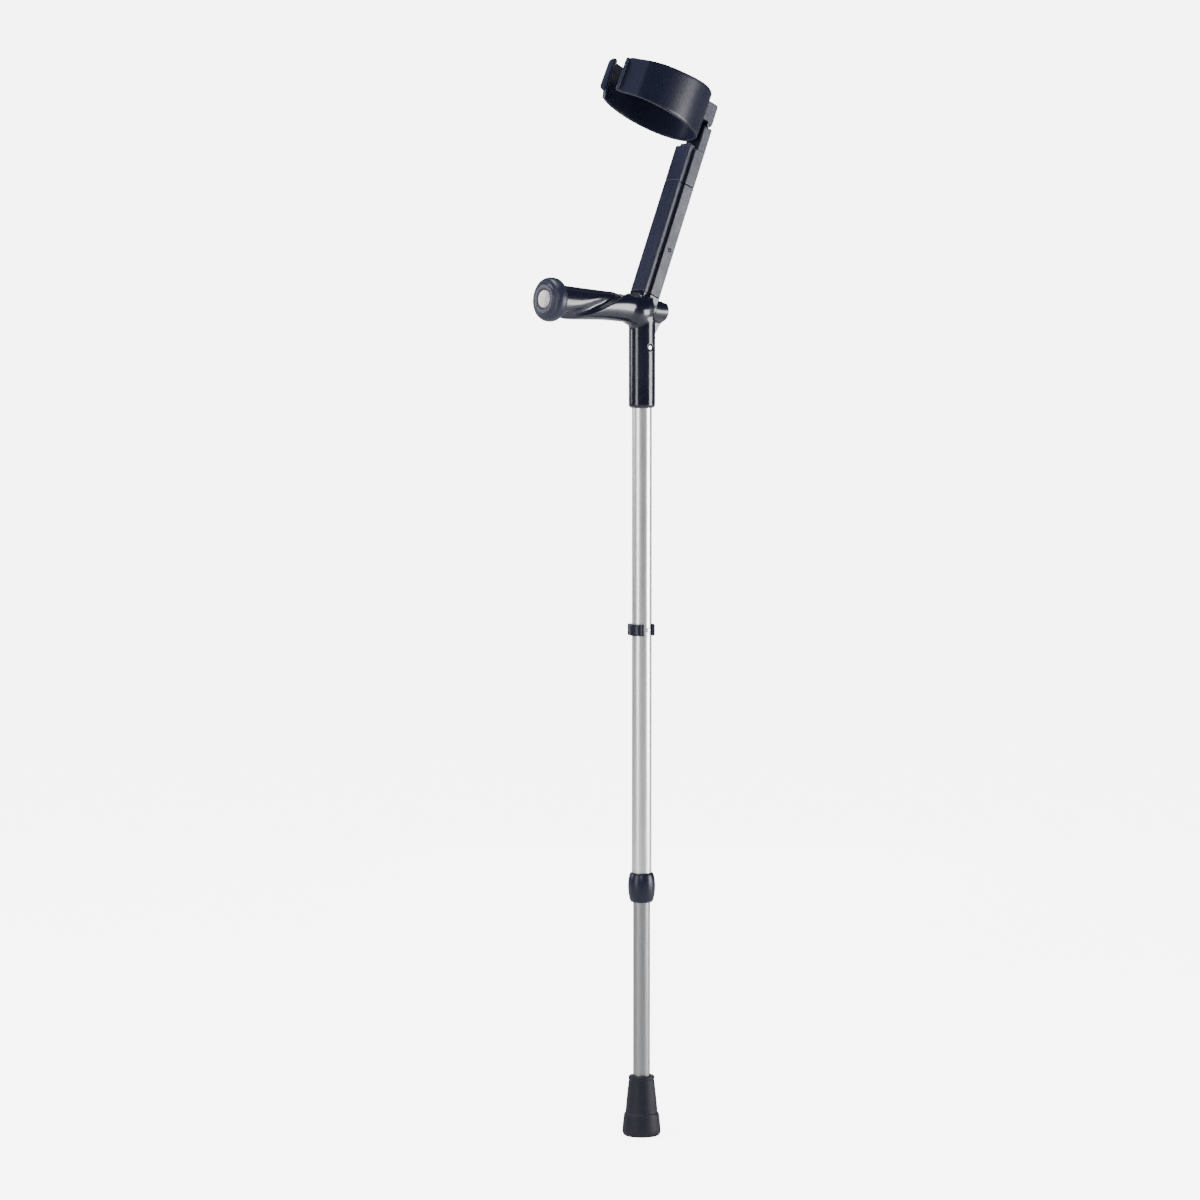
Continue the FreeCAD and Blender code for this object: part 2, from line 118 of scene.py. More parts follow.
def dense_profile(pts, step=1.2, closed=False):
    """Adds points on the straight runs of a profile, so that shading and bump have something to hold on to."""
    out = []
    n = len(pts)
    for i in range(n if closed else n - 1):
        a, b = np.array(pts[i], float), np.array(pts[(i + 1) % n], float)
        k = max(1, int(np.linalg.norm(b - a) / step))
        for j in range(k):
            out.append(a + (b - a) * j / k)
    if not closed:
        out.append(np.array(pts[-1], float))
    return np.array(out)


def round_profile(pts, radii, seg=4):
    """Rounds the corners of an open profile: radii gives one radius for each inner point."""
    pts = [np.array(p, float) for p in pts]
    out = [pts[0]]
    for i in range(1, len(pts) - 1):
        r = radii[i] if i < len(radii) else 0
        a, b, c = pts[i - 1], pts[i], pts[i + 1]
        d1, d2 = a - b, c - b
        l1, l2 = np.linalg.norm(d1), np.linalg.norm(d2)
        if r <= 0 or l1 < 1e-6 or l2 < 1e-6:
            out.append(b)
            continue
        d1, d2 = d1 / l1, d2 / l2
        ang = math.acos(max(-1, min(1, float(d1 @ d2))))
        if ang > pi - 0.02:
            out.append(b)
            continue
        cut = min(r / tan(ang / 2), 0.48 * l1, 0.48 * l2)
        p0, p1 = b + d1 * cut, b + d2 * cut
        for k in range(seg + 1):
            t = k / seg
            out.append((1 - t) ** 2 * p0 + 2 * t * (1 - t) * b + t * t * p1)
    out.append(pts[-1])
    return np.array(out)


def lathe(name, prof, to_world, n=96, closed=False, wobble=None):
    """Turns a (radius, height) profile about the local axis. to_world maps x, y, height arrays to points."""
    prof = np.asarray(prof, float)
    m = len(prof)
    th = np.arange(n) * 2 * pi / n
    verts, index = [], np.zeros((m, n), int)
    c = 0
    for i, (r, z) in enumerate(prof):
        if r < 1e-6:
            index[i, :] = c
            verts.append([0, 0, z])
            c += 1
        else:
            rr = r if wobble is None else r + wobble(th, z, r)
            for j in range(n):
                rj = rr if np.isscalar(rr) else rr[j]
                verts.append([rj * cos(th[j]), rj * sin(th[j]), z])
            index[i, :] = np.arange(c, c + n)
            c += n
    faces = []
    for i in range(m if closed else m - 1):
        a, b = index[i], index[(i + 1) % m]
        for j in range(n):
            k = (j + 1) % n
            q = [a[j], a[k], b[k], b[j]]
            q = [v for t, v in enumerate(q) if v not in q[:t]]
            if len(q) >= 3:
                faces.append(q)
    v = np.array(verts)
    return make_mesh(name, to_world(v[:, 0], v[:, 1], v[:, 2]), faces, sharp_deg=50)


def surface_nets(f, lo, hi, h, relax=3):
    """A closed quad mesh of the surface where f is zero, each vertex drawn on to that surface."""
    ax = [np.arange(lo[i], hi[i] + h, h) for i in range(3)]
    nx, ny, nz = map(len, ax)
    F = np.empty((nx, ny, nz))
    for i in range(nx):
        Y, Zz = np.meshgrid(ax[1], ax[2], indexing="ij")
        P = np.stack([np.full(Y.size, ax[0][i]), Y.ravel(), Zz.ravel()], 1)
        F[i] = f(P).reshape(ny, nz)
    S = F < 0
    c = [S[a:nx - 1 + a, b:ny - 1 + b, d:nz - 1 + d] for a in (0, 1) for b in (0, 1) for d in (0, 1)]
    tot = sum(x.astype(int) for x in c)
    mask = (tot > 0) & (tot < 8)
    idx = -np.ones(mask.shape, int)
    idx[mask] = np.arange(mask.sum())
    I, J, K = np.nonzero(mask)
    acc = np.zeros((len(I), 3))
    cnt = np.zeros(len(I))
    for axis in range(3):
        for a in (0, 1):
            for b in (0, 1):
                o = [0, 0, 0]
                others = [t for t in range(3) if t != axis]
                o[others[0]], o[others[1]] = a, b
                e = list(o)
                e[axis] = 1
                f0 = F[I + o[0], J + o[1], K + o[2]]
                f1 = F[I + e[0], J + e[1], K + e[2]]
                cr = (f0 < 0) != (f1 < 0)
                t = np.where(cr, f0 / np.where(cr, f0 - f1, 1), 0)
                p = np.stack([I + o[0], J + o[1], K + o[2]], 1).astype(float)
                p[:, axis] += t
                acc[cr] += p[cr]
                cnt[cr] += 1
    V0 = acc / cnt[:, None] * h + np.array([a[0] for a in ax])
    faces = []
    for axis in range(3):
        o = [t for t in range(3) if t != axis]
        sl0 = [slice(None)] * 3
        sl1 = [slice(None)] * 3
        sl0[axis], sl1[axis] = slice(0, -1), slice(1, None)
        cr = S[tuple(sl0)] != S[tuple(sl1)]
        inner = [slice(None)] * 3
        inner[o[0]] = slice(1, -1)
        inner[o[1]] = slice(1, -1)
        sub = np.zeros_like(cr)
        sub[tuple(inner)] = cr[tuple(inner)]
        A = np.argwhere(sub)
        for (da, db) in (((0, 0), 0),):
            q = []
            for (u, w) in ((-1, -1), (0, -1), (0, 0), (-1, 0)):
                B = A.copy()
                B[:, o[0]] += u
                B[:, o[1]] += w
                q.append(idx[B[:, 0], B[:, 1], B[:, 2]])
            q = np.stack(q, 1)
            faces.append(q[(q >= 0).all(1)])
    Q = np.concatenate(faces)

    def grad(P, e=0.02):
        g = np.zeros_like(P)
        for k in range(3):
            d = np.zeros(3)
            d[k] = e
            g[:, k] = (f(P + d) - f(P - d)) / (2 * e)
        return g

    def project(P, it=2):
        for _ in range(it):
            g = grad(P)
            n2 = np.maximum((g * g).sum(1), 0.05)
            step = (f(P) / n2)[:, None] * g
            ln = np.linalg.norm(step, axis=1, keepdims=True)
            P = P - step * np.minimum(1, 0.6 * h / np.maximum(ln, 1e-9))
        return P

    P = project(V0)
    e = np.concatenate([Q[:, [0, 1]], Q[:, [1, 2]], Q[:, [2, 3]], Q[:, [3, 0]]])
    for _ in range(relax):
        s = np.zeros_like(P)
        n = np.zeros(len(P))
        np.add.at(s, e[:, 0], P[e[:, 1]])
        np.add.at(s, e[:, 1], P[e[:, 0]])
        np.add.at(n, e[:, 0], 1)
        np.add.at(n, e[:, 1], 1)
        P = P + 0.5 * (s / n[:, None] - P)
        P = project(P, 1)
    return project(P, 1), Q


def smin(a, b, k):
    h = np.clip(0.5 + 0.5 * (b - a) / k, 0, 1)
    return b * (1 - h) + a * h - k * h * (1 - h)


def smax(a, b, k):
    return -smin(-a, -b, k)


def sd_cyl(P, o, d, r, s0, s1, rnd=0.0):
    Q = P - o
    t = Q @ d
    rad = np.linalg.norm(Q - np.outer(t, d), axis=1)
    dx = rad - r + rnd
    dz = np.maximum(s0 - t, t - s1) + rnd
    return np.minimum(np.maximum(dx, dz), 0) + np.hypot(np.maximum(dx, 0), np.maximum(dz, 0)) - rnd


def sd_box(P, o, A, c, half, rnd=0.0):
    Q = (P - o) @ np.array(A).T - np.array(c)
    d = np.abs(Q) - (np.array(half) - rnd)
    return np.minimum(d.max(1), 0) + np.linalg.norm(np.maximum(d, 0), axis=1) - rnd


# ------------------------------------------------------------------ material helpers
class Mat:
    """A small builder for procedural node materials."""

    def __init__(self, name):
        self.m = bpy.data.materials.new(name)
        self.m.use_nodes = True
        self.nt = self.m.node_tree
        self.b = self.nt.nodes["Principled BSDF"]
        self.tc = self.nt.nodes.new("ShaderNodeTexCoord")

    def n(self, kind, **kw):
        x = self.nt.nodes.new(kind)
        for k, v in kw.items():
            if k in x.inputs:
                x.inputs[k].default_value = v
            else:
                setattr(x, k, v)
        return x

    def link(self, a, b):
        self.nt.links.new(a, b)

    def mapping(self, scale=(1, 1, 1), rot=(0, 0, 0)):
        mp = self.n("ShaderNodeMapping")
        mp.inputs["Scale"].default_value = scale
        mp.inputs["Rotation"].default_value = rot
        self.link(self.tc.outputs["Object"], mp.inputs["Vector"])
        return mp.outputs["Vector"]

    def noise(self, vec, scale, detail=4.0, rough=0.55, dist=0.0):
        x = self.n("ShaderNodeTexNoise")
        x.inputs["Scale"].default_value = scale
        x.inputs["Detail"].default_value = detail
        x.inputs["Roughness"].default_value = rough
        x.inputs["Distortion"].default_value = dist
        self.link(vec, x.inputs["Vector"])
        return x.outputs["Fac"]

    def voronoi(self, vec, scale, feature="F1"):
        x = self.n("ShaderNodeTexVoronoi")
        x.feature = feature
        x.inputs["Scale"].default_value = scale
        self.link(vec, x.inputs["Vector"])
        return x.outputs["Distance"]

    def ramp(self, fac, stops):
        x = self.n("ShaderNodeValToRGB")
        el = x.color_ramp.elements
        while len(el) < len(stops):
            el.new(0.5)
        for e, (p, c) in zip(el, stops):
            e.position = p
            e.color = (*c, 1.0) if len(c) == 3 else c
        self.link(fac, x.inputs["Fac"])
        return x.outputs["Color"]

    def map(self, fac, a, b, lo, hi):
        x = self.n("ShaderNodeMapRange")
        x.inputs["From Min"].default_value = a
        x.inputs["From Max"].default_value = b
        x.inputs["To Min"].default_value = lo
        x.inputs["To Max"].default_value = hi
        self.link(fac, x.inputs["Value"])
        return x.outputs["Result"]

    def math(self, op, a, b):
        x = self.n("ShaderNodeMath")
        x.operation = op
        for i, v in enumerate((a, b)):
            if isinstance(v, (int, float)):
                x.inputs[i].default_value = v
            else:
                self.link(v, x.inputs[i])
        return x.outputs["Value"]

    def mix(self, fac, a, b):
        x = self.n("ShaderNodeMix")
        x.data_type = "RGBA"
        self.link(fac, x.inputs["Factor"])
        for sock, v in ((x.inputs[6], a), (x.inputs[7], b)):
            if isinstance(v, tuple):
                sock.default_value = (*v, 1.0)
            else:
                self.link(v, sock)
        return x.outputs[2]

    def bump(self, height, strength, distance, prev=None):
        x = self.n("ShaderNodeBump")
        x.inputs["Strength"].default_value = strength
        x.inputs["Distance"].default_value = distance
        self.link(height, x.inputs["Height"])
        if prev is not None:
            self.link(prev, x.inputs["Normal"])
        return x.outputs["Normal"]

    def edge(self, lo=0.52, hi=0.60):
        g = self.n("ShaderNodeNewGeometry")
        return self.map(g.outputs["Pointiness"], lo, hi, 0.0, 1.0)

    def color(self, c):
        self.link(c, self.b.inputs["Base Color"])

    def rough(self, r):
        self.link(r, self.b.inputs["Roughness"])

    def normal(self, n):
        self.link(n, self.b.inputs["Normal"])


def m_aluminium(name, tint, r0, r1, streak, aniso):
    m = Mat(name)
    m.b.inputs["Metallic"].default_value = 1.0
    m.b.inputs["Anisotropic"].default_value = aniso
    long = m.mapping((900, 900, 14))
    fine = m.noise(long, 1.0, 3.0, 0.6)
    cloud = m.noise(m.mapping((1, 1, 1)), 22.0, 4.0, 0.5)
    speck = m.noise(m.mapping((1, 1, 1)), 900.0, 2.0, 0.5)
    dark = tuple(t * 0.90 for t in tint)
    c = m.mix(m.map(fine, 0.35, 0.65, 0.0, 1.0), dark, tint)
    c = m.mix(m.map(cloud, 0.35, 0.75, 0.0, 0.35), c, tuple(t * 0.93 for t in tint))
    m.color(c)
    m.rough(m.math("ADD", m.map(fine, 0.3, 0.7, r0, r1), m.map(speck, 0.4, 0.8, 0.0, 0.05)))
    m.normal(m.bump(speck, 0.06, 0.0002, m.bump(fine, streak, 0.00015)))
    return m.m


def m_gloss(name):
    m = Mat(name)
    m.b.inputs["IOR"].default_value = 1.5
    m.b.inputs["Coat Weight"].default_value = 0.25
    m.b.inputs["Coat Roughness"].default_value = 0.08
    big = m.noise(m.mapping(), 14.0, 3.0, 0.5)
    fine = m.noise(m.mapping(), 1500.0, 2.0, 0.5)
    peel = m.noise(m.mapping(), 260.0, 2.0, 0.4)
    scuff = m.noise(m.mapping((40, 260, 60)), 6.0, 6.0, 0.7, 0.4)
    c = m.mix(m.map(big, 0.35, 0.7, 0.0, 1.0), (0.0060, 0.0072, 0.0200), (0.0100, 0.0115, 0.0290))
    c = m.mix(m.math("MULTIPLY", m.edge(0.53, 0.62), m.map(fine, 0.4, 0.6, 0.1, 0.5)), c, (0.045, 0.048, 0.070))
    m.color(c)
    sep = m.n("ShaderNodeSeparateXYZ")
    m.link(m.tc.outputs["Object"], sep.inputs[0])
    vv = m.math("SUBTRACT", m.math("MULTIPLY", sep.outputs["Y"], cos(PT)), m.math("MULTIPLY", m.math("SUBTRACT", sep.outputs["Z"], 0.925), sin(PT)))
    flange = m.math("MULTIPLY", m.map(vv, -0.0045, -0.0028, 0.0, 1.0), m.map(sep.outputs["Z"], 0.915, 0.923, 0.0, 1.0))
    m.rough(m.math("ADD", m.math("ADD", m.map(big, 0.3, 0.7, 0.17, 0.24), m.map(scuff, 0.55, 0.75, 0.0, 0.14)), m.math("MULTIPLY", flange, 0.08)))
    m.normal(m.bump(fine, 0.05, 0.0002, m.bump(peel, 0.10, 0.0004)))
    return m.m


def m_textured(name, c0=(0.0120, 0.0140, 0.0330), c1=(0.0190, 0.0215, 0.0470), r=0.46, depth=0.55, cell=1000.0):
    m = Mat(name)
    m.b.inputs["IOR"].default_value = 1.48
    vor = m.voronoi(m.mapping(), cell)
    n1 = m.noise(m.mapping(), cell * 0.7, 4.0, 0.6)
    big = m.noise(m.mapping(), 18.0, 4.0, 0.55)
    h = m.math("ADD", m.math("MULTIPLY", vor, 0.7), m.math("MULTIPLY", n1, 0.6))
    c = m.mix(m.map(big, 0.3, 0.7, 0.0, 1.0), c0, c1)
    c = m.mix(m.map(h, 0.35, 0.85, 0.0, 0.55), c, tuple(t * 1.5 for t in c1))
    c = m.mix(m.math("MULTIPLY", m.edge(0.52, 0.60), m.map(n1, 0.35, 0.65, 0.2, 0.8)), c, (0.045, 0.05, 0.075))
    m.color(c)
    sep = m.n("ShaderNodeSeparateXYZ")
    m.link(m.tc.outputs["Object"], sep.inputs[0])
    post_side = m.map(sep.outputs["Y"], -0.10, -0.05, 0.0, 1.0)
    smooth = m.map(post_side, 0.0, 1.0, 0.14, 0.17)
    streak = m.noise(m.mapping((700, 40, 40)), 1.0, 5.0, 0.7, 0.5)
    m.rough(m.math("SUBTRACT", m.math("ADD", m.map(h, 0.3, 0.9, r - 0.06, r + 0.10), m.map(streak, 0.35, 0.7, -0.05, 0.08)), smooth))
    m.normal(m.bump(h, depth, 0.00022, m.bump(streak, 0.10, 0.0004)))
    return m.m


def m_satin(name):
    m = Mat(name)
    m.b.inputs["IOR"].default_value = 1.40
    big = m.noise(m.mapping(), 12.0, 3.0, 0.5)
    grain = m.noise(m.mapping(), 1300.0, 3.0, 0.6)
    flow = m.noise(m.mapping((30, 30, 220)), 1.6, 4.0, 0.6, 0.6)
    rub = m.noise(m.mapping((120, 500, 90)), 1.4, 6.0, 0.75, 0.8)
    c = m.mix(m.map(big, 0.3, 0.7, 0.0, 1.0), (0.0090, 0.0105, 0.0260), (0.0140, 0.0160, 0.0370))
    c = m.mix(m.map(flow, 0.35, 0.75, 0.0, 0.35), c, (0.0180, 0.0205, 0.0420))
    sep = m.n("ShaderNodeSeparateXYZ")
    m.link(m.tc.outputs["Object"], sep.inputs[0])
    local = m.math("SUBTRACT", m.math("MULTIPLY", m.math("SUBTRACT", sep.outputs["Y"], 0.0096), cos(CT)), m.math("MULTIPLY", m.math("SUBTRACT", sep.outputs["Z"], 1.1351), sin(CT)))
    # painted light: the upper front tab, which faces the lamps, gets a lighter colour that stands in for the light
    # falling on it
    tab_painted_light = m.math("MULTIPLY", m.map(local, -0.0455, -0.0475, 0.0, 1.0), m.map(sep.outputs["Z"], 1.10, 1.12, 0.0, 1.0))
    c = m.mix(m.math("MULTIPLY", tab_painted_light, m.map(grain, 0.3, 0.7, 0.55, 0.95)), c, (0.0270, 0.0310, 0.0620))
    c = m.mix(m.math("MULTIPLY", m.edge(0.53, 0.61), m.map(grain, 0.35, 0.65, 0.2, 0.8)), c, (0.045, 0.05, 0.07))
    m.color(c)
    m.rough(m.math("ADD", m.map(big, 0.3, 0.7, 0.24, 0.31), m.map(rub, 0.55, 0.8, 0.0, 0.12)))
    m.normal(m.bump(grain, 0.14, 0.00025))
    return m.m


def m_rubber(name):
    m = Mat(name)
    m.b.inputs["IOR"].default_value = 1.42
    big = m.noise(m.mapping(), 35.0, 4.0, 0.6)
    grain = m.noise(m.mapping(), 1100.0, 4.0, 0.65)
    sep = m.n("ShaderNodeSeparateXYZ")
    m.link(m.tc.outputs["Object"], sep.inputs[0])
    low = m.map(sep.outputs["Z"], 0.012, 0.0, 0.0, 1.0)
    c = m.mix(m.map(big, 0.3, 0.7, 0.0, 1.0), (0.0042, 0.0048, 0.0140), (0.0080, 0.0088, 0.0220))
    dust = m.math("MULTIPLY", low, m.map(grain, 0.4, 0.62, 0.0, 0.8))
    c = m.mix(dust, c, (0.030, 0.030, 0.036))
    c = m.mix(m.math("MULTIPLY", m.edge(0.52, 0.60), m.map(grain, 0.35, 0.65, 0.1, 0.7)), c, (0.035, 0.037, 0.052))
    m.color(c)
    m.rough(m.math("ADD", m.map(big, 0.3, 0.7, 0.46, 0.58), m.map(grain, 0.3, 0.7, 0.0, 0.08)))
    m.normal(m.bump(grain, 0.25, 0.0003))
    return m.m


def m_steel(name, tint=(0.70, 0.71, 0.73), r=0.24):
    m = Mat(name)
    m.b.inputs["Metallic"].default_value = 1.0
    n1 = m.noise(m.mapping((1, 1, 1)), 800.0, 4.0, 0.6)
    turn = m.noise(m.mapping((60, 900, 900)), 1.0, 3.0, 0.6)
    m.color(m.mix(m.map(n1, 0.35, 0.7, 0.0, 1.0), tint, tuple(t * 0.8 for t in tint)))
    m.rough(m.map(turn, 0.3, 0.7, r - 0.05, r + 0.10))
    m.normal(m.bump(turn, 0.12, 0.0001))
    return m.m


def m_nylon(name):
    m = Mat(name)
    m.b.inputs["IOR"].default_value = 1.53
    m.b.inputs["Subsurface Weight"].default_value = 0.1
    n1 = m.noise(m.mapping(), 500.0, 4.0, 0.6)
    big = m.noise(m.mapping(), 60.0, 3.0, 0.5)
    m.color(m.mix(m.map(big, 0.3, 0.7, 0.0, 1.0), (0.62, 0.61, 0.57), (0.72, 0.71, 0.68)))
    m.rough(m.map(n1, 0.3, 0.7, 0.38, 0.50))
    m.normal(m.bump(n1, 0.12, 0.0002))
    return m.m


def m_reflector(name):
    m = Mat(name)
    m.b.inputs["IOR"].default_value = 1.49
    m.b.inputs["Coat Weight"].default_value = 0.6
    m.b.inputs["Coat Roughness"].default_value = 0.05
    vor = m.voronoi(m.mapping(), 620.0, "DISTANCE_TO_EDGE")
    cell = m.voronoi(m.mapping(), 620.0)
    big = m.noise(m.mapping(), 160.0, 3.0, 0.5)
    c = m.mix(m.map(cell, 0.1, 0.6, 0.0, 1.0), (0.66, 0.58, 0.60), (0.46, 0.42, 0.45))
    c = m.mix(m.map(big, 0.35, 0.7, 0.0, 0.5), c, (0.78, 0.74, 0.74))
    c = m.mix(m.map(vor, 0.0, 0.08, 0.45, 0.0), c, (0.30, 0.28, 0.31))
    m.color(c)
    m.rough(m.map(cell, 0.1, 0.6, 0.18, 0.34))
    m.normal(m.bump(cell, 0.35, 0.0004))
    return m.m


MAT = {
    "rubber_tip": m_rubber("rubber_tip"),
    "aluminium_bright": m_aluminium("aluminium_bright", (0.90, 0.905, 0.91), 0.28, 0.35, 0.05, 0.30),
    "aluminium_dull": m_aluminium("aluminium_dull", (0.36, 0.365, 0.375), 0.34, 0.44, 0.10, 0.2),
    "plastic_gloss": m_gloss("plastic_gloss"),
    "plastic_textured": m_textured("plastic_textured"),
    "plastic_satin": m_satin("plastic_satin"),
    "plastic_nylon": m_nylon("plastic_nylon"),
    "steel_bright": m_steel("steel_bright"),
    "spring_steel": m_steel("spring_steel", (0.42, 0.43, 0.46), 0.32),
    "reflector_face": m_reflector("reflector_face"),
}


def dress(ob, slot_name, body, *nodes):
    ob.data.materials.clear()
    ob.data.materials.append(MAT[slot_name])
    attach(ob, body)
    if nodes:
        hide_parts(*nodes)
    return ob


slot_of = {s["node"]: s["material_slot"] for s in frame["record"]["subparts"]}
for node, ob in frame["nodes"].items():
    mt = MAT[slot_of[node]]
    if len(ob.material_slots) == 0:
        ob.data.materials.append(mt)
    for s in ob.material_slots:
        s.material = mt

# ------------------------------------------------------------------ camera
A = radians(50.0)
right = Vector((cos(A), sin(A), 0))
shift = -right * 0.0464
target = Vector((0, 0, 0.600)) + shift
loc = Vector((sin(A) * 5.0, -cos(A) * 5.0, 0.930)) + shift
cam_d = bpy.data.cameras.new("camera")
cam = bpy.data.objects.new("camera", cam_d)
bpy.context.scene.collection.objects.link(cam)
cam.location = loc
cam.rotation_mode = "QUATERNION"
cam.rotation_quaternion = (target - loc).to_track_quat("-Z", "Y")
cam_d.sensor_width = 36.0
cam_d.lens = 36.0 * (target - loc).length / (1.11 * 1.2)
cam_d.clip_start, cam_d.clip_end = 0.05, 100.0
bpy.context.scene.camera = cam

# ------------------------------------------------------------------ ferrule
FW = [(0, 0.0), (5.0, 0.0), (5.3, 0.3), (5.6, 1.6), (7.2, 1.6), (7.5, 0.3), (7.8, 0.0), (10.7, 0.0), (11.0, 0.3), (11.3, 1.6), (13.7, 1.6), (14.0, 0.3), (14.3, 0.0),
      (17.0, 0.0), (18.6, 0.35), (19.9, 1.1), (20.8, 2.3), (21.35, 3.9), (21.6, 5.8), (21.5, 7.6), (20.9, 14.0), (19.9, 22.6), (19.65, 24.6), (19.2, 25.6), (18.5, 26.1), (18.15, 27.0),
      (17.75, 31.0), (16.5, 44.0), (15.2, 56.0), (14.35, 62.6), (14.25, 63.6), (14.45, 64.3), (14.65, 65.0), (14.6, 66.4), (14.2, 67.4), (13.5, 68.0), (11.6, 68.0), (10.2, 67.7), (9.56, 67.0), (9.55, 65.0), (9.55, 40.0), (9.55, 14.0), (0, 14.0)]
ferrule = lathe("ferrule_tip", dense_profile(FW, 1.5), world_pt, 128)
dress(ferrule, "rubber_tip", "lower_leg", "ferrule")

# ------------------------------------------------------------------ collar
CO = [(9.95, 263.2), (10.3, 262.8), (11.0, 262.8), (12.1, 263.3), (12.9, 264.5), (13.5, 266.2), (14.3, 269.8), (14.9, 273.8), (15.2, 278.0), (15.25, 282.0), (15.1, 285.6),
      (14.7, 289.0), (14.0, 292.2), (13.4, 294.2), (12.9, 295.3), (12.3, 295.9), (11.5, 296.0), (11.05, 295.6), (11.02, 293.0), (11.02, 271.0), (9.95, 269.0)]
collar = lathe("collar_barrel", dense_profile(CO, 1.0), world_pt, 128, closed=True)
dress(collar, "plastic_satin", "frame", "collar")

# ------------------------------------------------------------------ moulded hub, sleeve and grip as one skin
RIDGE_S = np.array([-30.0, 8.0, 20.0, 28.0, 37.0, 46.0, 56.0, 70.0, 84.0, 101.0, 124.0, 140.0])
RIDGE_A = np.radians(np.array([112.0, 98.0, 80.0, 62.0, 42.0, 22.0, 3.0, -24.0, -46.0, -70.0, -94.0, -102.0]))
HALF_S = np.array([-10.0, 12.0, 30.0, 55.0, 85.0, 112.0, 130.0])
HALF_A = np.array([15.2, 14.4, 13.8, 14.6, 15.9, 16.7, 17.0])
HALF_B = np.array([16.4, 16.2, 16.0, 15.8, 16.2, 16.8, 17.2])


def wrap(a):
    return (a + pi) % (2 * pi) - pi


def grip_radius(phi, s):
    a = np.interp(s, HALF_S, HALF_A)
    b = np.interp(s, HALF_S, HALF_B)
    p = 2.25
    m = (np.abs(np.cos(phi) / a) ** p + np.abs(np.sin(phi) / b) ** p) ** (-1.0 / p)
    pr = np.interp(s, RIDGE_S, RIDGE_A)
    fade = np.clip((s - 6.0) / 16.0, 0, 1) * np.clip((127.0 - s) / 18.0, 0, 1)
    for side, amp in ((1, 1.0), (-1, 0.75)):
        ph = phi if side > 0 else pi - phi
        d = wrap(ph - pr)
        below = np.exp(-(np.minimum(d, 0) / radians(70)) ** 2) * (d <= 0)
        above = np.exp(-(np.maximum(d, 0) / radians(9)) ** 2) * (d > 0)
        dip = np.exp(-((d - radians(26)) / radians(22)) ** 2) * (1 - np.exp(-(np.maximum(d, 0) / radians(9)) ** 2)) * (d > 0)
        m = m + amp * fade * (1.7 * (below + above) - 3.0 * dip)
    return m


def sd_grip(P):
    Q = P - G_O
    s = Q @ G_D
    x = Q[:, 0]
    w = Q @ G_U
    rad = np.hypot(x, w)
    phi = np.arctan2(w, x)
    d = (rad - grip_radius(phi, s)) * 0.85
    return np.maximum(d, np.maximum(-4.0 - s, s - 124.6))


def post_xyz(P):
    Q = P - P_O
    return Q[:, 0], Q @ P_V, Q @ P_D


def sd2_rect(x, v, cx, cv, hx, hv, r):
    dx = np.abs(x - cx) - hx + r
    dv = np.abs(v - cv) - hv + r
    return np.minimum(np.maximum(dx, dv), 0) + np.hypot(np.maximum(dx, 0), np.maximum(dv, 0)) - r


def sd2_section(x, v):
    """Front plate, web and rear flange of the forearm post."""
    outer = sd2_rect(x, v, 0.0, -1.0, 12.0, 12.5, 1.7)
    groove = sd2_rect(np.abs(x), v, 11.5, -7.0, 3.0, 3.5, 0.4)
    return smax(outer, -groove, 0.7)


def sd_hub_skin(P):
    sleeve = sd_cyl(P, np.array([0, 0, 813.0]), np.array([0, 0, 1.0]), 14.75, 0.0, 100.0, 3.8)
    E = (P - np.array([0, -8.0, 919.8])) / np.array([16.4, 18.0, 17.9])
    k0 = np.linalg.norm(E, axis=1)
    dome = (k0 - 1.0) * 17.6
    boss = sd_cyl(P, G_O, -G_D, 12.0, 0.0, 30.0, 1.8)
    x, v, u = post_xyz(P)
    block = np.maximum(sd2_section(x, v), np.maximum(-12.0 - u, u - 14.0))
    gus = sd_box(P, np.array([0, 17.0, 899.0]), [G_X, np.array([0, 0.82, -0.57]), np.array([0, 0.57, 0.82])], (0, -2.0, 0), (2.5, 5.0, 15.0), 1.0)
    d = smin(sleeve, dome, 3.0)
    d = smin(d, sd_grip(P), 5.0)
    d = smin(d, boss, 2.5)
    d = smin(d, gus, 3.0)
    d = smin(d, block, 1.6)
    top = u - 13.98
    bore = sd_cyl(P, np.array([0, 0, 800.0]), np.array([0, 0, 1.0]), 11.03, 0.0, 105.0)
    cap = sd_cyl(P, G_O - G_D * 34.0, G_D, 9.05, 0.0, 8.0)
    rec = np.minimum(sd_cyl(P, np.array([12.6, 0, 880.0]), np.array([1.0, 0, 0]), 3.5, 0.0, 8.0), sd_cyl(P, np.array([-12.6, 0, 880.0]), np.array([-1.0, 0, 0]), 3.5, 0.0, 8.0))
    d = smax(d, -bore, 0.5)
    d = smax(d, -cap, 0.5)
    d = smax(d, -rec, 0.6)
    return smax(d, np.where(P[:, 2] > 915.0, top, -50.0), 0.3)


H = 0.8
V0, F0 = surface_nets(sd_hub_skin, (-22, -131, 810), (22, 34, 950), H)
hub = make_mesh("handle_moulding", V0, F0)
dress(hub, "plastic_gloss", "frame", "handle_hub", "hand_grip")

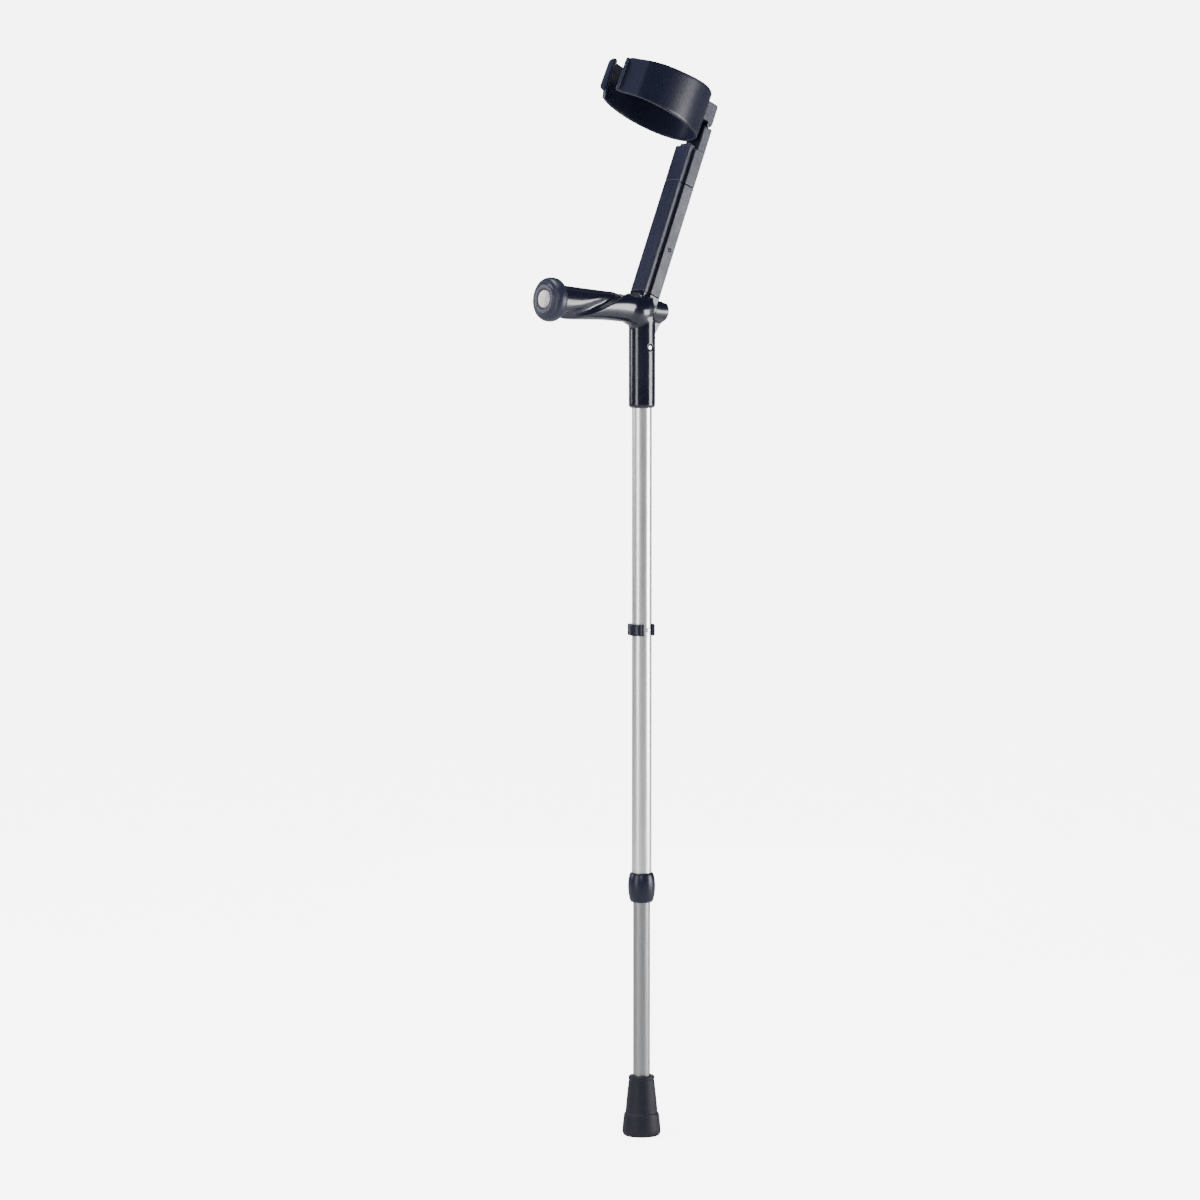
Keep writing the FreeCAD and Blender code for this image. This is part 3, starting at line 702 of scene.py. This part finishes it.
# ------------------------------------------------------------------ knob and reflector
KN = [(2.7, 0.0), (17.6, 0.0), (19.6, 0.05), (21.4, 0.4), (22.8, 1.3), (23.7, 2.8), (24.15, 4.8), (24.25, 7.0), (24.1, 9.2), (23.6, 11.2), (22.7, 12.9), (21.5, 14.0), (20.1, 14.7), (18.6, 15.0), (17.9, 15.1), (17.5, 15.35),
      (17.1, 15.9), (16.4, 16.35), (15.2, 16.5), (12.0, 16.5), (10.9, 16.4), (10.4, 15.9), (10.3, 15.0), (10.3, 14.3), (5.4, 14.3), (5.4, 10.7), (2.7, 10.7)]
KN = [(r, z + 124.5) for r, z in KN]
knob = lathe("grip_end_knob", dense_profile(KN, 0.9), grip_pt, 128, closed=True)
dress(knob, "plastic_textured", "frame", "grip_knob")
RF = [(0, 138.85), (9.7, 138.85), (9.95, 139.1), (10.0, 140.2), (9.7, 140.8), (9.0, 141.15), (6.5, 141.4), (3.0, 141.55), (0, 141.6)]
refl = lathe("reflector_disc", dense_profile(RF, 0.6), grip_pt, 96)
dress(refl, "reflector_face", "frame", "reflector")

# ------------------------------------------------------------------ forearm post and slider skins
def offset_poly(poly, d):
    """Moves a closed polygon inwards by d along its vertex normals."""
    p = np.asarray(poly, float)
    a = p - np.roll(p, 1, 0)
    b = np.roll(p, -1, 0) - p
    na = np.stack([-a[:, 1], a[:, 0]], 1) / np.linalg.norm(a, axis=1, keepdims=True)
    nb = np.stack([-b[:, 1], b[:, 0]], 1) / np.linalg.norm(b, axis=1, keepdims=True)
    n = na + nb
    n /= np.maximum(np.linalg.norm(n, axis=1, keepdims=True), 1e-6)
    c = np.maximum((n * na).sum(1, keepdims=True), 0.4)
    return p + n * d / c


def round_closed(pts, radii, seg=4):
    pts = [np.array(p, float) for p in pts]
    n = len(pts)
    out = []
    for i in range(n):
        a, b, c = pts[i - 1], pts[i], pts[(i + 1) % n]
        d1, d2 = a - b, c - b
        l1, l2 = np.linalg.norm(d1), np.linalg.norm(d2)
        d1, d2 = d1 / l1, d2 / l2
        ang = math.acos(max(-1, min(1, float(d1 @ d2))))
        cut = min(radii[i] / tan(ang / 2), 0.48 * l1, 0.48 * l2)
        p0, p1 = b + d1 * cut, b + d2 * cut
        for k in range(seg + 1):
            t = k / seg
            out.append((1 - t) ** 2 * p0 + 2 * t * (1 - t) * b + t * t * p1)
    return np.array(out)


def prism(name, poly, stations, to_world, hole=None):
    """Skins a closed polygon along stations of (height, inset). The hole argument is not used."""
    poly = np.asarray(poly, float)
    area = 0.5 * np.sum(poly[:, 0] * np.roll(poly[:, 1], -1) - np.roll(poly[:, 0], -1) * poly[:, 1])
    if area < 0:
        poly = poly[::-1]
    n = len(poly)
    rings, faces = [], []
    for h, ins in stations:
        q = offset_poly(poly, ins)
        rings.append(np.c_[q, np.full(n, h)])
    v = np.concatenate(rings)
    m = len(stations)
    for i in range(m - 1):
        for j in range(n):
            k = (j + 1) % n
            faces.append([i * n + j, i * n + k, (i + 1) * n + k, (i + 1) * n + j])
    faces.append(list(range(n))[::-1])
    faces.append([(m - 1) * n + j for j in range(n)])
    return make_mesh(name, to_world(v[:, 0], v[:, 1], v[:, 2]), faces, sharp_deg=40)


def lengths(a, b, step=3.0):
    k = max(2, int(abs(b - a) / step))
    return [a + (b - a) * i / k for i in range(k + 1)]


def extrude(d2, t, t0, t1, r0, r1):
    """A profile run from t0 to t1, with the two end edges rounded by r0 and r1."""
    a = np.maximum(d2, t0 - t) if r0 <= 0 else smax(d2, t0 - t, r0)
    return np.maximum(a, t - t1) if r1 <= 0 else smax(a, t - t1, r1)


def sd_post(P):
    x, v, u = post_xyz(P)
    d = extrude(sd2_section(x, v), u, 14.02, 145.7, 0, 0.8)
    d = smax(d, -extrude(sd2_rect(x, v, 0.0, -0.5, 6.5, 7.0, 0.7), u, 30.0, 200.0, 0, 0), 0.5)
    uk = 60.0 + 12.0 * np.clip(np.round((u - 60.0) / 12.0), 0, 6)
    d = smax(d, -np.maximum(np.hypot(x, u - uk) - 3.8, 2.0 - v), 0.6)
    mark = np.maximum(np.hypot(v - 3.6, u - 69.4) - 2.3, 11.35 - np.abs(x))
    pip = np.maximum(np.hypot(v - 3.6, u - 69.4) - 1.1, np.abs(x) - 11.8)
    d = smax(d, -mark, 0.4)
    return smin(d, np.maximum(pip, 10.5 - np.abs(x)), 0.3)


def sd_slider(P):
    x, v, u = post_xyz(P)
    plate = extrude(sd2_section(x, v), u, 146.02, 188.0, 0.9, 1.2)
    flange = extrude(sd2_rect(x, v, 0.0, 5.0, 12.0, 6.5, 1.7), u, 187.0, 216.8, 0, 1.4)
    web = extrude(sd2_rect(x, v, 0.0, -5.5, 8.5, 5.0, 1.2), u, 187.0, 192.0, 0, 1.6)
    tongue = np.maximum(np.minimum(sd2_rect(v, u, 4.8, 218.0, 5.0, 5.6, 0.3), np.hypot(v - 4.8, u - 223.6) - 5.0), np.abs(x) - 4.0)
    bar = extrude(sd2_rect(x, v, 0.0, -0.5, 6.2, 6.7, 0.8), u, 42.0, 147.0, 0.8, 0)
    d = np.minimum(smin(plate, smin(flange, web, 0.8), 0.5), bar)
    d = smin(d, tongue, 0.6)
    d = smax(d, -np.maximum(np.hypot(x, u - 60.0) - 3.6, 2.0 - v), 0.5)
    return smax(d, -extrude(sd2_rect(x, v, 0.0, -0.5, 4.7, 5.2, 0.4), u, 30.0, 122.0, 0, 0), 0.4)


def cuff_out(P):
    """Rough distance outside the cuff's outer wall near its rear."""
    Q = P - C_O
    x, y = Q[:, 0], Q @ C_V
    q = np.hypot(x / 42.8, y / 65.5)
    return (q - 1.0) * 65.5 * q / np.maximum(np.hypot(x / 42.8 * 65.5 / 42.8, y / 65.5), 0.2) * np.maximum(q, 0.2) ** -1


def sd_bracket(P):
    x, v, u = post_xyz(P)
    prof = sd2_rect(v, u, 1.75, 234.8, 9.25, 11.2, 0.6)
    prof = smax(prof, -np.maximum(4.8 - v, u - 223.6), 0.3)
    prof = np.minimum(prof, np.maximum(np.hypot(v - 4.8, u - 223.6) - 6.2, 2.8 - v))
    corner = np.maximum(7.8 - v, 242.8 - u)
    prof = np.where(corner < 0, np.maximum(prof, np.hypot(np.maximum(v - 7.8, 0), np.maximum(u - 242.8, 0)) - 3.2), prof)
    d = smax(prof, np.abs(x) - 10.0, 1.0)
    d = smax(d, -np.maximum(np.abs(x) - 4.3, np.maximum(-1.8 - v, u - 229.4)), 0.4)
    d = smax(d, 0.06 - cuff_out(P), 0.3)
    pad = np.maximum(sd2_rect(x, u, 0.0, 237.4, 6.2, 4.6, 1.6), 10.55 - v)
    return smax(d, -pad, 0.35)


def sd_clip(P):
    x, y, z = P[:, 0], P[:, 1], P[:, 2] - 567.0
    r = np.hypot(x, y)
    ang = np.arctan2(np.abs(y), x)
    ring = np.maximum(r - 14.2, 11.12 - r)
    e = np.array([cos(radians(36.0)), sin(radians(36.0))])
    mouth = x * sin(radians(34.0)) - np.abs(y) * cos(radians(34.0))
    ring = smax(ring, mouth, 0.8)
    lip = np.hypot(x - 12.95 * e[0], np.abs(y) - 12.95 * e[1]) - 1.9
    block = sd2_rect(x, y, -13.0, 0.0, 3.5, 8.0, 2.2)
    block = np.maximum(block, 11.12 - r)
    d = smin(smin(ring, np.maximum(lip, 11.12 - r), 1.2), block, 2.2)
    d = smax(d, np.abs(z) - 6.5, 1.1)
    grips = np.minimum(np.minimum(np.abs(z + 3.2), np.abs(z)), np.abs(z - 3.2)) - 0.55
    d = smax(d, -np.maximum(grips, 15.95 + x), 0.4)
    return smax(d, -np.maximum(np.hypot(y, z) - 2.55, x), 0.3)


HP = 0.6
V1, F1 = surface_nets(lambda Q: sd_post(post_pt(Q[:, 0], Q[:, 1], Q[:, 2])), (-15, -17, 11), (15, 15, 149), HP)
post = make_mesh("forearm_post_skin", post_pt(V1[:, 0], V1[:, 1], V1[:, 2]), F1)
dress(post, "plastic_textured", "frame", "forearm_post")
V2, F2 = surface_nets(lambda Q: sd_slider(post_pt(Q[:, 0], Q[:, 1], Q[:, 2])), (-15, -17, 39), (15, 15, 232), HP)
slider = make_mesh("forearm_slider_skin", post_pt(V2[:, 0], V2[:, 1], V2[:, 2]), F2)
dress(slider, "plastic_textured", "forearm_upper", "forearm_slider")
V3, F3 = surface_nets(lambda Q: sd_bracket(post_pt(Q[:, 0], Q[:, 1], Q[:, 2])), (-13, -11, 213), (13, 14, 249), 0.42)
bracket = make_mesh("cuff_bracket_skin", post_pt(V3[:, 0], V3[:, 1], V3[:, 2]), F3)
dress(bracket, "plastic_textured", "arm_cuff", "cuff_bracket")
V4, F4 = surface_nets(sd_clip, (-19, -17, 558), (16, 17, 576), 0.4)
clip = make_mesh("locking_clip_skin", V4, F4)
dress(clip, slot_of["locking_clip"], "height_clip", "locking_clip")

# ------------------------------------------------------------------ cuff
CA, CB, CW = 42.8, 65.5, 3.5
T0 = -45.0
FOLD = np.array([10.2, -61.2])
LIP_A, LIP_L = radians(58.0), 5.0 + CW / 2


def cuff_path():
    """Stations along the outer wall, from the near lip round the back to the far lip: point and outward normal."""
    t = np.radians(np.linspace(T0, 90.0, 220))
    P = np.stack([CA * np.cos(t), CB * np.sin(t)], 1)
    N = np.stack([np.cos(t) / CA, np.sin(t) / CB], 1)
    N /= np.linalg.norm(N, axis=1, keepdims=True)
    mid = P - N * CW / 2
    lip = np.array([sin(LIP_A), -cos(LIP_A)])
    k = np.unique(np.concatenate([np.linspace(0, 3.0, 26) ** 1.0, [0.08, 0.2]]))
    front = round_profile([FOLD + lip * LIP_L, FOLD, mid[0], mid[6]], [0, 2.0, 4.0], 9)
    c = np.concatenate([front[:-1], mid[6:]])
    seg = np.r_[0, np.cumsum(np.linalg.norm(np.diff(c, axis=0), axis=1))]
    full = seg[-1]
    st = np.unique(np.concatenate([[0.0, 0.05, 0.15, 0.3, 0.5, 0.75, 1.0, 1.3, 1.6], np.linspace(1.9, 9.0, 26), np.linspace(9.4, full, 190)]))
    c = np.stack([np.interp(st, seg, c[:, i]) for i in range(2)], 1)
    c[-1, 0] = 0.0
    c = np.concatenate([c, c[:-1][::-1] * np.array([-1, 1])])
    g = np.gradient(c, axis=0)
    g[0], g[-1] = c[1] - c[0], c[-1] - c[-2]
    g /= np.linalg.norm(g, axis=1, keepdims=True)
    n = np.stack([g[:, 1], -g[:, 0]], 1)
    for _ in range(2):
        n[1:-1] = (n[:-2] + 2 * n[1:-1] + n[2:]) / 4
    n /= np.linalg.norm(n, axis=1, keepdims=True)
    return c + n * CW / 2, n


def cuff_top(y):
    """Height of the band's upper edge over the local front-to-back position."""
    ys = np.array([-75, -66.0, -55.8, -42.0, -32.0, -22.0, -11.0, 0.0, 12.0, 24.0, 35.0, 46.0, 80.0])
    hs = np.array([40.2, 40.9, 42.1, 44.5, 46.2, 47.4, 48.5, 49.6, 51.2, 52.7, 53.8, 54.4, 54.5])
    return np.interp(y, ys, hs)


def build_cuff():
    P, N = cuff_path()
    seg = np.r_[0, np.cumsum(np.linalg.norm(np.diff(P, axis=0), axis=1))]
    L = seg[-1]
    edge = np.minimum(seg, L - seg)                    # distance from the nearer tab end
    edge = np.where(edge < 7.0, edge * 0.8, edge - 1.4)
    r_lo, r_hi = 6.5, 8.5
    zlo = np.where(edge < r_lo, r_lo - np.sqrt(np.maximum(r_lo ** 2 - (r_lo - edge) ** 2, 0)), 0.0)
    top = cuff_top(P[:, 1])
    hi_c = np.where(edge < r_hi, (r_hi - np.sqrt(np.maximum(r_hi ** 2 - (r_hi - edge) ** 2, 0))), 0.0)
    zhi = top - hi_c
    half = CW / 2
    end = 1.4
    wsc = np.where(edge < end, np.sqrt(np.maximum(1 - ((end - edge) / end) ** 2, 0.0)), 1.0)
    wsc = np.maximum(wsc, 0.18)
    C = P - N * half
    rc = 1.45
    ring = []
    nz = 18
    for i in range(len(P)):
        w = half * wsc[i]
        r = min(rc, w * 0.92)
        a, b = zlo[i], zhi[i]
        pts = []
        # outer wall going up, top round, inner wall going down, bottom round
        for z in np.linspace(a + r, b - r, nz):
            bead = 0.35 * (np.exp(-((z - b + 2.2) / 1.2) ** 2) + np.exp(-((z - a - 2.2) / 1.2) ** 2)) * wsc[i]
            pts.append((w + bead * 0.0, z))
        for k in range(1, 6):
            q = k / 6 * pi / 2
            pts.append((w - r + r * cos(q), b - r + r * sin(q)))
        pts.append((w - r, b))
        pts.append((-(w - r), b))
        for k in range(1, 6):
            q = pi / 2 + k / 6 * pi / 2
            pts.append((-(w - r) + r * cos(q), b - r + r * sin(q)))
        for z in np.linspace(b - r, a + r, nz):
            pts.append((-w, z))
        for k in range(1, 6):
            q = pi + k / 6 * pi / 2
            pts.append((-(w - r) + r * cos(q), a + r + r * sin(q)))
        pts.append((-(w - r), a))
        pts.append((w - r, a))
        for k in range(1, 6):
            q = 1.5 * pi + k / 6 * pi / 2
            pts.append(((w - r) + r * cos(q), a + r + r * sin(q)))
        pts = np.array(pts)
        xy = C[i] + np.outer(pts[:, 0], N[i])
        ring.append(np.c_[xy, pts[:, 1]])
    n = len(ring[0])
    v = np.concatenate(ring)
    m = len(ring)
    faces = []
    for i in range(m - 1):
        for j in range(n):
            k = (j + 1) % n
            faces.append([i * n + j, i * n + k, (i + 1) * n + k, (i + 1) * n + j])
    faces.append(list(range(n)))
    faces.append([(m - 1) * n + j for j in range(n)][::-1])
    return make_mesh("cuff_band", cuff_pt(v[:, 0], v[:, 1], v[:, 2]), faces, sharp_deg=60)


cuff = build_cuff()
dress(cuff, "plastic_satin", "arm_cuff", "cuff")

# ------------------------------------------------------------------ leaf spring behind the length button
def build_spring():
    line = [(-5.3, u) for u in np.linspace(55.0, 83.0, 24)]
    line += [(-1.25 - 4.05 * cos(a), 84.0 + 4.05 * sin(a)) for a in np.linspace(0, pi, 28)]
    line += [(2.8, u) for u in np.linspace(83.0, 55.0, 24)]
    c = np.array(line)
    g = np.gradient(c, axis=0)
    g /= np.linalg.norm(g, axis=1, keepdims=True)
    n = np.stack([-g[:, 1], g[:, 0]], 1)
    ring = [(-0.29, -3.45), (-0.24, -3.5), (0.24, -3.5), (0.29, -3.45), (0.29, 0.0), (0.29, 3.45), (0.24, 3.5), (-0.24, 3.5), (-0.29, 3.45), (-0.29, 0.0)]
    k = len(ring)
    pts, faces = [], []
    for i in range(len(c)):
        for off, x in ring:
            q = c[i] + n[i] * off
            pts.append((x, q[0], q[1]))
    for i in range(len(c) - 1):
        for j in range(k):
            m = (j + 1) % k
            faces.append([i * k + j, i * k + m, (i + 1) * k + m, (i + 1) * k + j])
    faces.append(list(range(k)))
    faces.append([(len(c) - 1) * k + j for j in range(k)][::-1])
    v = np.array(pts)
    return make_mesh("button_leaf_spring", post_pt(v[:, 0], v[:, 1], v[:, 2]), faces, sharp_deg=50)


leaf = build_spring()
leaf.data.materials.append(MAT[slot_of["button_spring"]])
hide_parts("button_spring")
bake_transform(leaf)

# ------------------------------------------------------------------ floor, world, lights
bpy.ops.mesh.primitive_grid_add(x_subdivisions=8, y_subdivisions=8, size=24.0, location=(0, 0, 0))
floor = bpy.context.active_object
floor.name = "floor"
fm = Mat("floor_paint")
fn = fm.noise(fm.mapping(), 3.0, 3.0, 0.5)
fm.color(fm.mix(fm.map(fn, 0.3, 0.7, 0.0, 1.0), (0.86, 0.86, 0.86), (0.89, 0.89, 0.89)))
fm.b.inputs["Roughness"].default_value = 0.7
fl = fm.n("ShaderNodeLightPath")
fm.b.inputs["Emission Color"].default_value = (1, 1, 1, 1)
fm.link(fm.math("MULTIPLY", fl.outputs["Is Camera Ray"], 6.2), fm.b.inputs["Emission Strength"])
floor.data.materials.append(fm.m)

world = bpy.data.worlds.new("studio")
bpy.context.scene.world = world
world.use_nodes = True
wt = world.node_tree
bg = wt.nodes["Background"]
bg.inputs["Color"].default_value = (1, 1, 1, 1)
bg.inputs["Strength"].default_value = 6.5
dim = wt.nodes.new("ShaderNodeBackground")
dim.inputs["Strength"].default_value = 0.07
pick = wt.nodes.new("ShaderNodeMixShader")
lp = wt.nodes.new("ShaderNodeLightPath")
wt.links.new(lp.outputs["Is Camera Ray"], pick.inputs[0])
wt.links.new(dim.outputs[0], pick.inputs[1])
wt.links.new(bg.outputs[0], pick.inputs[2])
wt.links.new(pick.outputs[0], wt.nodes["World Output"].inputs["Surface"])


def area(name, loc, aim, sx, sy, power):
    d = bpy.data.lights.new(name, "AREA")
    d.shape = "RECTANGLE"
    d.size, d.size_y = sx, sy
    d.energy = power
    o = bpy.data.objects.new(name, d)
    bpy.context.scene.collection.objects.link(o)
    o.location = loc
    o.rotation_mode = "QUATERNION"
    o.rotation_quaternion = (Vector(aim) - Vector(loc)).to_track_quat("-Z", "Y")
    return o


front = Vector((sin(A), -cos(A), 0))


def around(deg, dist, z):
    """A point at an angle to the right of the camera's side of the object."""
    q = radians(deg)
    return tuple(front * cos(q) * dist + right * sin(q) * dist + Vector((0, 0, z)))


area("right_box", around(82, 2.5, 0.60), (0, 0, 0.60), 1.2, 0.95, 60)
area("left_box", around(-47, 2.6, 0.95), (0, 0, 0.95), 0.85, 1.5, 26)
area("left_side", around(-104, 2.6, 1.25), (0, 0, 0.95), 0.8, 0.9, 16)
area("front_fill", around(-6, 4.6, 2.4), (0, 0, 0.9), 1.6, 0.8, 40)
area("back_box", around(178, 2.8, 0.9), (0, 0, 0.9), 0.9, 1.4, 9)
area("back_left", around(-140, 2.8, 0.9), (0, 0, 0.9), 0.4, 1.4, 4)
area("top", tuple(front * 0.2 - right * 1.0 + Vector((0, 0, 3.2))), (0, 0, 0.8), 1.2, 1.0, 45)
sd = bpy.data.lights.new("overhead", "SUN")
sd.energy = 0.9
sd.angle = radians(60.0)
so = bpy.data.objects.new("overhead", sd)
bpy.context.scene.collection.objects.link(so)
